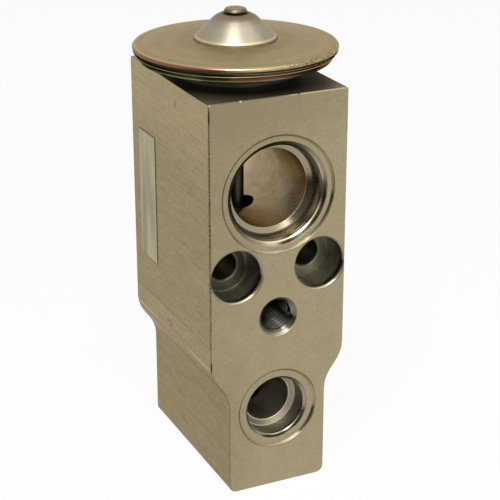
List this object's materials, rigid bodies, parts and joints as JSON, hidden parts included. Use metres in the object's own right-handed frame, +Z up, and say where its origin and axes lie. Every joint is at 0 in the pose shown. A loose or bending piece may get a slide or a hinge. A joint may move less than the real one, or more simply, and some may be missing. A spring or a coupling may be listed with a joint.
{
  "type": "thermostatic expansion valve",
  "caption": "Block expansion valve: a ported aluminium body with a thermal head whose pin and sprung ball meter liquid refrigerant into an evaporator.",
  "frame": {"origin": "middle of the block's foot, on the valve's axis", "axes": "+Z up along the pin towards the thermal head, -Y out of the face that takes the pipes, +X to the right of that face"},
  "size_m": [0.0388, 0.0388, 0.0913],
  "materials": {
    "block_aluminium": "extruded on the sides, fine machined on the port faces, slightly warm grey",
    "turned_aluminium": "turned",
    "head_steel": "pressed, matte and faintly yellow, bright on the dome",
    "head_rim_steel": "pressed, with copper-coloured weld tint at the rim",
    "turned_steel": "turned",
    "bright_steel": "bright",
    "pin_steel": "dark, ground",
    "spring_steel": "drawn wire",
    "plug_brass": "dulled",
    "holder_brass": "turned",
    "seal_rubber": "moulded",
    "label_foil": "smooth foil, bare"
  },
  "bodies": {
    "valve_block": {"valve_body": "block_aluminium", "head_cover": "head_steel", "head_base": "head_rim_steel", "head_neck": "turned_steel", "diaphragm": "bright_steel", "charge_plug": "plug_brass", "head_o_ring": "seal_rubber", "pin_o_ring": "seal_rubber", "push_nut": "bright_steel", "orifice_seat": "turned_steel", "valve_spring": "spring_steel", "side_label": "label_foil"},
    "valve_train": {"thrust_plate": "turned_aluminium", "valve_pin": "pin_steel", "valve_ball": "bright_steel", "ball_holder": "holder_brass", "damper_ring": "bright_steel"},
    "screw_seal": {"adjusting_screw_o_ring": "seal_rubber"},
    "screw": {"adjusting_screw": "holder_brass"}
  },
  "joints": [
    {"name": "valve_stroke", "type": "slide", "parent": "valve_block", "child": "valve_train", "axis": [0, 0, -1], "range_m": [0, 0.0008], "stiffness_N_per_m": 12900, "springref_m": -0.0035, "deforming": ["valve_spring"]},
    {"name": "screw_travel", "type": "slide", "parent": "valve_block", "child": "screw_seal", "axis": [0, 0, 1], "range_m": [-0.0005, 0.0005], "deforming": ["valve_spring"]},
    {"name": "screw_turn", "type": "hinge", "parent": "screw_seal", "child": "screw", "pos_m": [0, 0, 0.005], "axis": [0, 0, 1], "range_deg": [-180, 180]}
  ],
  "couplings": [
    {"joint": "screw_turn", "follows": "screw_travel", "rad_per_m": 6283.2}
  ]
}
